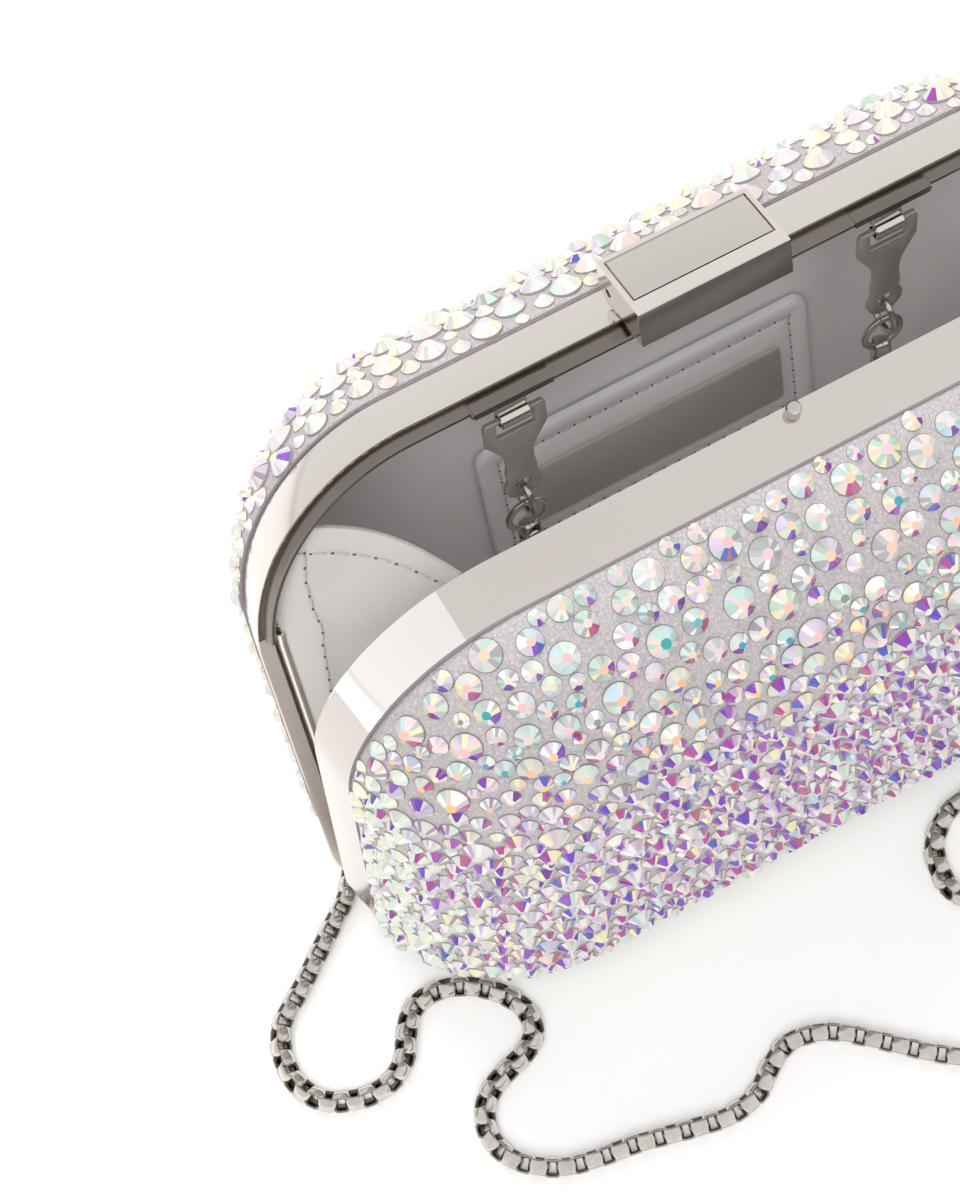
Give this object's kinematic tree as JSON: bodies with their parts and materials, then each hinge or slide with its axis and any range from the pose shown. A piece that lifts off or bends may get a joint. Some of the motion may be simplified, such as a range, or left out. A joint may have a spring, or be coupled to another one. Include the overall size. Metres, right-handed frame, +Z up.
{
  "type": "box_clutch",
  "caption": "Hinged box clutch standing open: crystal-covered pans in a polished metal frame, lift clasp, leather lining and gussets, hooks with an inner chain, loose strap chain.",
  "frame": {"origin": "On the floor under the middle of the bag, between the two halves; the chains are not counted.", "axes": "X along the bag's length, to the right seen from the front; Y from the front half to the rear half; Z up."},
  "size_m": [0.2094, 0.1505, 0.1295],
  "materials": {
    "polished_nickel": "polished nickel plating",
    "satin_nickel": "satin nickel plating",
    "chain_steel": "bright chain steel",
    "crystal_mesh": "fine net set all over with flat-back crystals",
    "shell_plastic": "moulded, hidden",
    "lining_leather": "smooth pale grey leather, stitched"
  },
  "bodies": {
    "rear_half": {"rear_frame": "polished_nickel", "rear_crystal_cover": "crystal_mesh", "rear_shell": "shell_plastic", "rear_lining": "lining_leather", "rear_patch": "lining_leather", "inner_plate": "polished_nickel", "left_hinge_rear_leaf": "satin_nickel", "right_hinge_rear_leaf": "satin_nickel", "left_hinge_pin": "chain_steel", "right_hinge_pin": "chain_steel", "left_rear_bead": "polished_nickel", "right_rear_bead": "polished_nickel", "left_gusset": "lining_leather", "right_gusset": "lining_leather", "clasp_bracket": "satin_nickel", "clasp_axle": "chain_steel", "clasp_spring": "chain_steel", "left_hanger": "satin_nickel", "right_hanger": "satin_nickel", "inner_chain": "chain_steel", "strap_chain": "chain_steel", "first_end_clasp": "chain_steel", "second_end_clasp": "chain_steel"},
    "front_half": {"front_frame": "polished_nickel", "front_crystal_cover": "crystal_mesh", "front_shell": "shell_plastic", "front_lining": "lining_leather", "left_hinge_front_leaf": "satin_nickel", "right_hinge_front_leaf": "satin_nickel", "left_front_bead": "polished_nickel", "right_front_bead": "polished_nickel", "ball_stud": "polished_nickel"},
    "clasp": {"clasp_lever": "polished_nickel", "clasp_top_plate": "polished_nickel", "clasp_catch": "chain_steel"},
    "left_hook_body": {"left_hook": "satin_nickel"},
    "right_hook_body": {"right_hook": "satin_nickel"},
    "left_rings": {"left_upper_ring": "chain_steel", "left_lower_ring": "chain_steel"},
    "right_rings": {"right_upper_ring": "chain_steel", "right_lower_ring": "chain_steel"}
  },
  "joints": [
    {"name": "main_hinge", "type": "hinge", "parent": "rear_half", "child": "front_half", "pos_m": [0, 0, 0.00119], "axis": [-1, 0, 0], "range_deg": [0, 12.63], "deforming": ["left_gusset", "right_gusset", "ball_stud"]},
    {"name": "clasp_lift", "type": "hinge", "parent": "rear_half", "child": "clasp", "pos_m": [0, 0.01711, 0.12392], "axis": [-1, 0, 0], "range_deg": [0, 28], "stiffness_Nm_per_rad": 0.02, "springref_deg": -22.92, "deforming": ["clasp_spring"]},
    {"name": "left_hook_swing", "type": "hinge", "parent": "rear_half", "child": "left_hook_body", "pos_m": [-0.0339, 0.01193, 0.11353], "axis": [1, 0, 0], "range_deg": [-35, 35]},
    {"name": "right_hook_swing", "type": "hinge", "parent": "rear_half", "child": "right_hook_body", "pos_m": [0.0339, 0.01193, 0.11353], "axis": [1, 0, 0], "range_deg": [-35, 35]},
    {"name": "left_ring_swing", "type": "hinge", "parent": "left_hook_body", "child": "left_rings", "pos_m": [-0.0339, 0.01193, 0.09328], "axis": [1, 0, 0], "range_deg": [-18, 18]},
    {"name": "right_ring_swing", "type": "hinge", "parent": "right_hook_body", "child": "right_rings", "pos_m": [0.0339, 0.01193, 0.09328], "axis": [1, 0, 0], "range_deg": [-18, 18]}
  ]
}
